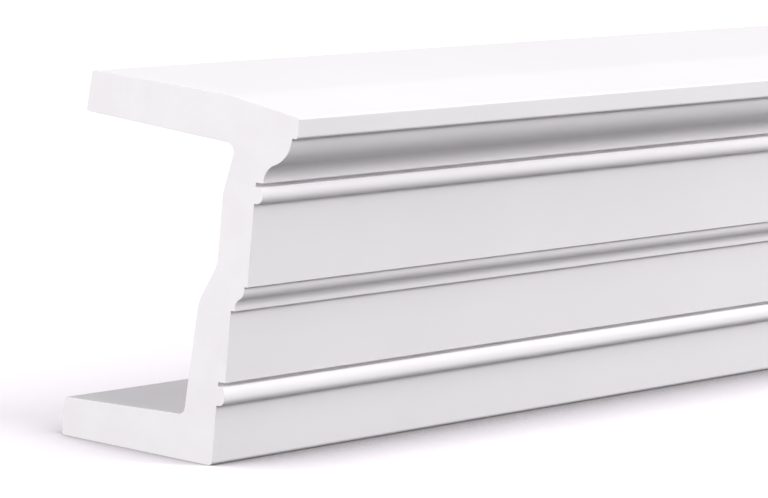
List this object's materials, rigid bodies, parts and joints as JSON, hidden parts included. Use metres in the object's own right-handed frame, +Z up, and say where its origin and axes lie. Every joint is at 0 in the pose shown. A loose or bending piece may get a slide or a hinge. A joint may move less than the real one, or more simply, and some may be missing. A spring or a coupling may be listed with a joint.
{
  "type": "architrave moulding",
  "caption": "Straight architrave moulding with a channel section: stepped fascias, beads and a listel in front, flanges behind for fixing over a wall or lintel.",
  "frame": {"origin": "centre of the bounding box's bottom face, on the floor under the bottom flange", "axes": "+X along the length, -Y out of the moulded front, +Y out of the open back, +Z up"},
  "size_m": [2, 0.14, 0.2],
  "materials": {
    "moulding": "rigid polyurethane foam, factory primed white, smooth and matt, with sawn ends"
  },
  "bodies": {
    "root": {"architrave_moulding": "moulding"}
  },
  "joints": []
}
